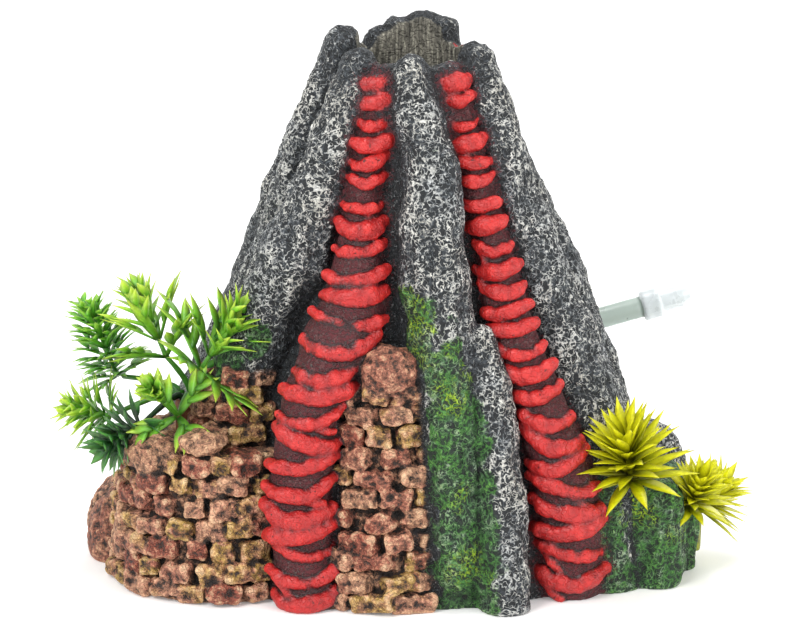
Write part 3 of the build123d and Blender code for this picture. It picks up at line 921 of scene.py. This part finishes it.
def soft_leaf(name, base, middle, tip, roughness=0.38):
    """Moulded leaf plastic, darker at the root and paler at the tip, with a faint rib and grain."""
    n = Nodes(name)
    along = n.plus(n.mask("along"), n.times(n.minus(n.mask("shade"), 0.5), 0.45))
    colour = n.ramp(along, [(0.0, base), (0.42, middle), (0.95, tip)])
    streak = n.span(n.noise(1.6, 3.0), 0.35, 0.7, 0.78, 1.12)
    colour = n.mix(
        1.0, colour, n.ramp(streak, [(0.0, (0.0, 0.0, 0.0)), (1.0, (1.0, 1.0, 1.0))]), "MULTIPLY")
    n.bump(n.plus(n.times(n.mask("rib"), 1.0), n.times(n.noise(0.5), 0.25)), 0.12, 0.7)
    n.shader.inputs["Subsurface Weight"].default_value = 0.18
    n.shader.inputs["Subsurface Radius"].default_value = (0.0015, 0.0020, 0.0006)
    n.shader.inputs["Subsurface Scale"].default_value = 1.0
    return n.set(
        Base_Color=colour, Roughness=n.span(n.noise(2.0), 0.3, 0.7, roughness - 0.06, roughness + 0.10))


def clear_plastic(name, colour, roughness, through, cloud):
    """Milky see-through plastic: how much light goes through, and a faint cloudiness."""
    n = Nodes(name)
    milk = n.noise(4.0, 3.0)
    n.shader.inputs["Transmission Weight"].default_value = through
    n.shader.inputs["IOR"].default_value = 1.43
    n.shader.inputs["Subsurface Weight"].default_value = cloud
    n.shader.inputs["Subsurface Radius"].default_value = (0.002, 0.002, 0.002)
    n.bump(n.noise(0.8, 3.0), 0.02, 0.5)
    darker = tuple(value * 0.9 for value in colour)
    return n.set(
        Base_Color=n.ramp(milk, [(0.3, darker), (0.7, colour)]),
        Roughness=n.span(milk, 0.3, 0.7, roughness - 0.05, roughness + 0.07))


def grainy(name, dark, light, grain, roughness, depth):
    """A dull material with a visible grain, for the air stone, the seal and the plugs."""
    n = Nodes(name)
    speck = n.plus(n.times(n.cells(grain), 0.7), n.times(n.noise(grain), 0.5))
    n.bump(speck, depth, 0.9)
    return n.set(
        Base_Color=n.ramp(speck, [(0.2, dark), (0.8, light)]),
        Roughness=n.span(speck, 0.2, 0.9, roughness, roughness + 0.15))


# ---------------------------------------------------------------- plants

LEAF_STEPS = 7


class Tuft:
    """Points, faces and masks of one sprig's stem and leaves."""

    def __init__(self):
        self.points, self.faces = [], []
        self.masks = {"along": [], "shade": [], "rib": []}

    def mark(self, along, shade, rib):
        for name, value in zip(("along", "shade", "rib"), (along, shade, rib)):
            self.masks[name].append(value)

    def leaf(self, root, way, up, length, width, bend, shade):
        """A pointed leaf with a raised rib and keel that bends towards up as it goes out."""
        side = way.cross(up).normalized()
        base = len(self.points)
        place, heading = root.copy(), way.normalized()
        lift = side.cross(heading).normalized()
        for step in range(LEAF_STEPS + 1):
            share = step / LEAF_STEPS
            swell = math.sin(math.pi * min(share * 0.92 + 0.06, 1)) ** 0.8
            half = width / 2 * (0.22 + 0.78 * swell) * (1 - share ** 4)
            thick = 0.36 * (1 - 0.7 * share)
            ring = [
                (place - side * half + lift * 0.30 * half, 0.0),
                (place + lift * thick * 0.3, 1.0),
                (place + side * half + lift * 0.30 * half, 0.0),
                (place - lift * thick, 0.3),
            ]
            for point, rib in ring:
                self.points.append(point)
                self.mark(share, shade, rib)
            if step:
                for corner in range(4):
                    low = base + 4 * (step - 1)
                    following = (corner + 1) % 4
                    self.faces.append(
                        (low + corner, low + following, low + 4 + following, low + 4 + corner))
            turn = Matrix.Rotation(bend / LEAF_STEPS, 3, side)
            heading = turn @ heading
            lift = turn @ lift
            place = place + heading * (length / LEAF_STEPS)
        self.faces.append((base + 3, base + 2, base + 1, base))
        last = len(self.points) - 4
        self.faces.append((last, last + 1, last + 2, last + 3))

    def palm(self, root, way, up, length, width, bend, shade, fingers):
        """A leaf whose outer half splits into a fan of pointed fingers."""
        self.leaf(root, way, up, length, width, bend, shade)
        side = way.cross(up).normalized()
        normal = side.cross(way).normalized()
        for finger in range(fingers):
            hand = 1 if finger % 2 else -1
            start = root + way * length * (0.26 + 0.13 * finger) + up * 0.2
            swing = Matrix.Rotation(hand * (0.62 - 0.06 * finger), 3, normal)
            self.leaf(
                start, swing @ way, up, length * (0.60 - 0.05 * finger), width * 0.88, bend,
                shade * 0.9 + 0.1)

    def stem(self, path, radii, shade):
        """A round stem along points, with slight nodes."""
        base = len(self.points)
        sides = 8
        for index, point in enumerate(path):
            ahead = (path[min(index + 1, len(path) - 1)] - path[max(index - 1, 0)]).normalized()
            across = ahead.orthogonal().normalized()
            other = ahead.cross(across)
            for corner in range(sides):
                angle = 2 * math.pi * corner / sides
                radius = radii[index] * (1.0 + 0.12 * (index % 3 == 0))
                self.points.append(point + (across * math.cos(angle) + other * math.sin(angle)) * radius)
                self.mark(0.05 + 0.2 * index / len(path), shade, 0.0)
            if index:
                low = base + sides * (index - 1)
                for corner in range(sides):
                    following = (corner + 1) % sides
                    self.faces.append(
                        (low + corner, low + following, low + sides + following, low + sides + corner))
        self.faces.append(tuple(base + corner for corner in reversed(range(sides))))
        last = base + sides * (len(path) - 1)
        self.faces.append(tuple(last + corner for corner in range(sides)))

    def finish(self, name, material):
        piece = new_object(name, to_metres(self.points), self.faces, [material])
        for mask, values in self.masks.items():
            add_mask(piece, mask, values)
        return piece


def stem_path(root, middle, tip, steps=14):
    """An even curve from the plug through the first whorl to the tip."""
    path = []
    knee = root + Vector((0, 0, 3.5))
    for step in range(steps + 1):
        share = step / steps
        if share < 0.6:
            t = share / 0.6
            path.append(root * (1 - t) ** 2 + knee * 2 * t * (1 - t) + middle * t * t)
        else:
            path.append(middle + (tip - middle) * (share - 0.6) / 0.4)
    return path


# sprig: node, body, plug, root angle, first whorl, tip, leaf length and width, leaves in a whorl, whorls,
# spread in degrees, upward bend, fingers on each leaf
SPRIGS = [
    (
        "green_sprig_tall", "green_upright", "green_plant_plug", 330, (-50, -20.5, 58), (-45, -23, 66),
        21.5, 3.3, 4, 2, 44, 0.12, 4),
    (
        "green_sprig_middle", "green_upright", "green_plant_plug", 90, (-60, -8, 58), (-64, -6, 67), 19.5,
        3.2, 4, 2, 40, 0.12, 4),
    (
        "green_sprig_frond", "green_outer", "green_plant_plug", 140, (-74, 2, 50), (-80, 2, 66), 12.0, 2.2,
        6, 6, 54, 0.30, 3),
    (
        "green_sprig_front", "green_front", "green_plant_plug", 270, (-56, -23, 46), (-59, -30, 52), 16.0,
        3.1, 4, 1, 44, 0.20, 4),
    (
        "green_sprig_low", "green_outer", "green_plant_plug", 185, (-75, -9, 42), (-82, -10, 44), 13.0, 2.6,
        4, 4, 50, 0.20, 2),
    (
        "green_sprig_dark", "green_front", "green_plant_plug", 228, (-66, -22, 43), (-73, -28, 40), 12.5,
        2.9, 6, 4, 60, 0.05, 1),
    (
        "yellow_rosette_top", "yellow_top", "yellow_plant_top_plug", 270, (62, -28, 30.5), (60, -32, 40),
        18.5, 3.5, 11, 6, 46, 0.14, 0),
    (
        "yellow_rosette_side", "yellow_side", "yellow_plant_side_plug", 270, (78.5, -18, 20), (80, -21, 26),
        12.5, 3.0, 9, 5, 44, 0.18, 0),
    (
        "yellow_rosette_low", "yellow_side", "yellow_plant_side_plug", 0, (83, -3, 14), (87, -3, 19), 13.5,
        3.0, 9, 6, 50, 0.18, 0),
]
ROOT_RING = 2.7


def add_sprig(values, material, number):
    """One sprig: its stem from the plug, whorls that tighten towards the tip, and a crown of young leaves."""
    name, body, plug, angle, middle, tip, length, width, count, whorls, spread, bend, fingers = values
    low, high = box_mm(plug)
    turn = math.radians(angle)
    root = Vector(
        (
            (low[0] + high[0]) / 2 + ROOT_RING * math.cos(turn),
            (low[1] + high[1]) / 2 + ROOT_RING * math.sin(turn), high[2] + 0.4))
    middle, tip = Vector(middle), Vector(tip)
    tuft = Tuft()
    path = stem_path(root, middle, tip)
    tuft.stem(path, [0.95 - 0.035 * index for index in range(len(path))], 0.3)
    luck = np.random.default_rng(100 + number)
    axis = (tip - middle).normalized()
    side = axis.orthogonal().normalized()
    for whorl in range(whorls + 1):
        share = whorl / whorls
        centre = middle + (tip - middle) * share
        opening = math.radians(spread + 24 - 52 * share)
        leaves = count if whorl < whorls else max(4, count - 2)
        for spoke in range(leaves):
            around = 2 * math.pi * (spoke + 0.5 * (whorl % 2) + luck.uniform(-0.16, 0.16)) / leaves
            outward = Matrix.Rotation(around, 3, axis) @ side
            tilt = opening + luck.uniform(-0.16, 0.16)
            way = (outward * math.sin(tilt) + axis * math.cos(tilt)).normalized()
            reach = length * (1 - 0.28 * share) * luck.uniform(0.85, 1.08)
            shade = luck.uniform(0.15, 1) * (0.55 + 0.45 * share)
            curve = -bend * luck.uniform(0.5, 1.4)
            tuft.palm(centre + outward * 0.5, way, axis, reach, width, curve, shade, fingers)
    piece = tuft.finish(f"{name}_leaves", material)
    hand_over(piece, body, name)


def loop_faces(rings, sides):
    """The faces between rings of points, with the last ring joined to the first."""
    faces = []
    for ring in range(rings):
        following = (ring + 1) % rings
        for corner in range(sides):
            after = (corner + 1) % sides
            faces.append((
                ring * sides + corner, following * sides + corner,
                following * sides + after, ring * sides + after))
    return faces


def turned(name, profile, place, way, material, sides=48):
    """A round piece turned from radius and distance pairs about a line."""
    way = Vector(way).normalized()
    across = way.orthogonal().normalized()
    other = way.cross(across)
    points = []
    for radius, distance in profile:
        for corner in range(sides):
            angle = 2 * math.pi * corner / sides
            points.append(
                Vector(place) + way * distance + (
                    across * math.cos(angle) + other * math.sin(angle)) * radius)
    return new_object(name, to_metres(points), loop_faces(len(profile), sides), [material])


# ---------------------------------------------------------------- air supply

TUBE_RADIUS = 3.0
TUBE_BORE = 2.0
# the airline's route: out of the flank, swinging to the right and a little upward
TUBE_ROUTE = [(35.41, 26.41, 54.0), (44.74, 35.74, 54.0), (56.61, 41.28, 55.61), (69.89, 42.44, 59.18)]
BARB_LENGTH = 9.0
COLLAR_RADIUS = 4.3
COLLAR_LENGTH = 5.5
SOCKET_RADIUS = 3.2
SOCKET_LENGTH = 8.5
SOCKET_DEPTH = 7.0
LUG_TURN = math.radians(-50)


def tube_route():
    """Points along the smooth spline that the airline's route controls, in millimetres."""
    curve = bpy.data.curves.new("airline_route", "CURVE")
    curve.dimensions = "3D"
    spline = curve.splines.new("NURBS")
    spline.points.add(len(TUBE_ROUTE) - 1)
    for point, corner in zip(spline.points, TUBE_ROUTE):
        point.co = (*corner, 1)
    spline.order_u = 3
    spline.use_endpoint_u = True
    holder = bpy.data.objects.new("airline_route", curve)
    mesh = bpy.data.meshes.new_from_object(holder)
    path = [vertex.co.copy() for vertex in mesh.vertices]
    bpy.data.objects.remove(holder)
    return path


def pipe_mesh(name, path, radii, material, sides=32):
    """A hollow tube along a path: outer wall, far rim, inner wall and near rim."""
    points = []
    rings = [(index, radii[0]) for index in range(len(path))] + [
        (index, radii[1]) for index in reversed(range(len(path)))]
    across = Vector((0, 0, 1))
    for index, radius in rings:
        ahead = (path[min(index + 1, len(path) - 1)] - path[max(index - 1, 0)]).normalized()
        side = ahead.cross(across).normalized()
        other = side.cross(ahead)
        for corner in range(sides):
            angle = 2 * math.pi * corner / sides
            points.append(path[index] + (side * math.cos(angle) + other * math.sin(angle)) * radius)
    return new_object(name, to_metres(points), loop_faces(len(rings), sides), [material])


def add_airline(silicone, coupling_plastic):
    """The silicone airline on its spigot, and the coupling in its end."""
    path = tube_route()
    tube = pipe_mesh("silicone_airline", path, (TUBE_RADIUS, TUBE_BORE), silicone)
    hand_over(tube, "ornament", "air_tube")
    way = (Vector(TUBE_ROUTE[-1]) - Vector(TUBE_ROUTE[-2])).normalized()
    barb = TUBE_BORE - 0.05
    tip = COLLAR_LENGTH + SOCKET_LENGTH
    profile = [
        (1.2, -BARB_LENGTH), (barb - 0.75, -BARB_LENGTH), (barb, -BARB_LENGTH + 2.6),
        (barb - 0.35, -BARB_LENGTH + 2.7),
        (barb, -BARB_LENGTH + 5.4), (barb - 0.35, -BARB_LENGTH + 5.5), (barb - 0.35, 0.05),
        (COLLAR_RADIUS - 0.9, 0.05), (COLLAR_RADIUS - 0.3, 0.25), (COLLAR_RADIUS, 0.9),
        (COLLAR_RADIUS - 0.12, 1.6),
        (COLLAR_RADIUS - 0.12, COLLAR_LENGTH - 1.4), (COLLAR_RADIUS, COLLAR_LENGTH - 0.9),
        (COLLAR_RADIUS - 0.3, COLLAR_LENGTH - 0.2),
        (COLLAR_RADIUS - 0.9, COLLAR_LENGTH), (SOCKET_RADIUS + 0.1, COLLAR_LENGTH + 0.1),
        (SOCKET_RADIUS, COLLAR_LENGTH + 0.5),
        (SOCKET_RADIUS - 0.1, tip - 2.2), (SOCKET_RADIUS - 0.25, tip - 1.8),
        (SOCKET_RADIUS - 1.0, tip - 0.2), (2.15, tip), (2.0, tip - 0.15),
        (2.0, tip - SOCKET_DEPTH), (1.2, tip - SOCKET_DEPTH),
    ]
    connector = turned("airline_coupling", profile, path[-1], way, coupling_plastic)
    lug_way = Matrix.Rotation(LUG_TURN, 3, way) @ way.orthogonal().normalized()
    lug_profile = [(0.05, 0.0), (1.25, 0.0), (1.35, 0.5), (1.2, 2.2), (0.7, 2.7), (0.05, 2.75)]
    lug_foot = path[-1] + way * COLLAR_LENGTH / 2 + lug_way * 2.9
    lug = turned("coupling_lug", lug_profile, lug_foot, lug_way, coupling_plastic, 20)
    for piece in (connector, lug):
        hand_over(piece, "coupling", "hose_connector")


def add_air_stone(material):
    """The porous stone in the crater: a rounded cylinder with a pitted skin."""
    low, high = box_mm("air_stone")
    middle = (low + high) / 2
    radius = (high[0] - low[0]) / 2
    sides, rings = 96, 90
    profile = [(0.02, 0.0), (radius - 0.5, 0.0), (radius, 0.5)]
    profile += [(radius, 0.5 + (high[2] - low[2] - 2.0) * step / rings) for step in range(1, rings + 1)]
    profile += [
        (radius - 1.5 + 1.5 * math.cos(angle), high[2] - low[2] - 1.5 + 1.5 * math.sin(angle))
        for angle in np.linspace(0, math.pi / 2, 8)]
    profile += [((radius - 1.5) * (1 - step / 12) + 0.02, high[2] - low[2]) for step in range(1, 13)]
    stone = turned("air_stone_body", profile, (middle[0], middle[1], low[2]), (0, 0, 1), material, sides)
    places = np.array([vertex.co for vertex in stone.data.vertices]) / MM
    nearest = cell_distance(places, 1.0, 3)[0]
    pits = 0.22 * (nearest - 0.6) + 0.08 * noise(places, 0.5, 4)
    for vertex, pit in zip(stone.data.vertices, pits):
        outward = Vector((vertex.co.x - middle[0] * MM, vertex.co.y - middle[1] * MM, 0))
        if outward.length > 1e-5:
            vertex.co += outward.normalized() * pit * MM
    hand_over(stone, "ornament", "air_stone")


def add_plug(node, material, ribs):
    """A plant's moulded stub, ridged up its sides and worn round its top."""
    low, high = box_mm(node)
    middle = (low + high) / 2
    radius = (high[0] - low[0]) / 2
    height = high[2] - low[2]
    profile = [(0.02, 0.0)] + [
        (radius - 0.25 * (step == 0), height * 0.92 * step / 16) for step in range(17)]
    profile += [
        (radius - 0.35, height * 0.97), (radius - 0.9, height), (radius * 0.5, height + 0.02),
        (0.02, height - 0.15)]
    plug = turned(f"{node}_stub", profile, (middle[0], middle[1], low[2]), (0, 0, 1), material, 64)
    for vertex in plug.data.vertices:
        offset = Vector((vertex.co.x - middle[0] * MM, vertex.co.y - middle[1] * MM, 0))
        around = math.atan2(offset.y, offset.x)
        vertex.co -= offset * (0.035 + 0.035 * math.cos(ribs * around + 3 * vertex.co.z / MM / height))
    hand_over(plug, "ornament", node)


# ---------------------------------------------------------------- room

def add_room():
    """A pale floor that curves up all round, and soft studio light from above and both sides."""
    floor_level = float(cad_bounds[0][2])
    flat, bend, rise, sides = 3.2, 0.8, 3.0, 64
    line = [(0.001, floor_level)]
    line += [
        (flat + bend * math.sin(angle), floor_level + bend - bend * math.cos(angle))
        for angle in np.linspace(0, math.pi / 2, 14)]
    line.append((flat + bend, floor_level + rise))
    turns = [2 * math.pi * side / sides for side in range(sides)]
    points = [
        (reach * math.cos(turn), reach * math.sin(turn), level) for reach, level in line for turn in turns]
    faces = []
    for ring in range(len(line) - 1):
        for side in range(sides):
            after = (side + 1) % sides
            faces.append(
                (
                    ring * sides + side, ring * sides + after, (ring + 1) * sides + after,
                    (ring + 1) * sides + side))
    n = Nodes("floor_paper")
    n.bump(n.noise(0.6, 3.0), 0.01, 0.3)
    n.shader.inputs["Emission Color"].default_value = (1, 1, 1, 1)
    n.join(n.span(n.mask("rise"), 0.0, 1.0, 0.12, 0.62), n.shader.inputs["Emission Strength"])
    paper = n.set(
        Base_Color=n.ramp(n.noise(90.0), [(0.3, (0.90, 0.90, 0.90)), (0.7, (0.93, 0.93, 0.93))]),
        Roughness=0.85)
    floor = new_object("floor", points, faces, [paper])
    add_mask(
        floor, "rise", [min((level - floor_level) / bend, 1) for reach, level in line for turn in turns])
    lamps = [
        ("key", (-0.55, -0.75, 0.85), 0.55, 9.5),
        ("fill", (0.80, -0.60, 0.45), 0.70, 3.5),
        ("top", (0.05, 0.10, 1.05), 0.60, 6.0),
        ("rim", (0.45, 0.85, 0.65), 0.50, 4.5),
    ]
    aim = Vector(to_metres((0, 0, 65)))
    for name, place, size, power in lamps:
        data = bpy.data.lights.new(name, "AREA")
        data.shape = "DISK"
        data.size = size
        data.energy = power
        lamp = bpy.data.objects.new(name, data)
        lamp.location = aim + Vector(place)
        lamp.rotation_euler = Vector(place).to_track_quat("Z", "Y").to_euler()
        bpy.context.collection.objects.link(lamp)
    world = bpy.data.worlds.new("studio")
    world.use_nodes = True
    world.node_tree.nodes["Background"].inputs["Color"].default_value = (1, 1, 1, 1)
    world.node_tree.nodes["Background"].inputs["Strength"].default_value = 0.32
    bpy.context.scene.world = world
    bpy.context.scene.view_settings.view_transform = "Standard"


def cad_material(node, material):
    """Give a CAD node that keeps its own shape a better material."""
    for slot in bpy.data.objects[node].material_slots:
        slot.material = material


# ---------------------------------------------------------------- build

add_camera()
silicone = clear_plastic("silicone", (0.58, 0.68, 0.62), 0.30, 0.30, 0.35)
coupling_plastic = clear_plastic("coupling_plastic", (0.66, 0.71, 0.72), 0.28, 0.12, 0.35)
add_airline(silicone, coupling_plastic)
add_skin(painted_resin())
green_leaf = soft_leaf("green_leaf", (0.040, 0.18, 0.014), (0.19, 0.50, 0.030), (0.55, 0.76, 0.07))
fern_leaf = soft_leaf("fern_leaf", (0.030, 0.17, 0.014), (0.12, 0.44, 0.030), (0.34, 0.66, 0.07))
dark_leaf = soft_leaf("dark_leaf", (0.006, 0.03, 0.008), (0.020, 0.10, 0.022), (0.07, 0.27, 0.05))
yellow_leaf = soft_leaf("yellow_leaf", (0.16, 0.17, 0.004), (0.62, 0.62, 0.004), (0.78, 0.76, 0.012))
LEAVES = {"green_sprig_frond": fern_leaf, "green_sprig_dark": dark_leaf}
for number, values in enumerate(SPRIGS):
    usual = yellow_leaf if values[0].startswith("yellow") else green_leaf
    add_sprig(values, LEAVES.get(values[0], usual), number)
add_air_stone(grainy("air_stone", (0.16, 0.20, 0.24), (0.42, 0.47, 0.50), 0.7, 0.75, 0.15))
add_plug(
    "green_plant_plug", grainy("brown_stub", (0.09, 0.02, 0.012), (0.30, 0.10, 0.05), 1.2, 0.5, 0.08),
    9)
for node in SOCKETS[1:]:
    add_plug(
        node, grainy(f"{node}_olive", (0.08, 0.09, 0.01), (0.30, 0.32, 0.03), 1.2, 0.45, 0.08),
        8)
cad_material("air_pipe", clear_plastic("pipe_plastic", (0.85, 0.90, 0.90), 0.2, 0.6, 0.1))
cad_material("inlet_grommet", grainy("seal", (0.30, 0.30, 0.29), (0.50, 0.50, 0.48), 0.8, 0.6, 0.04))
add_room()
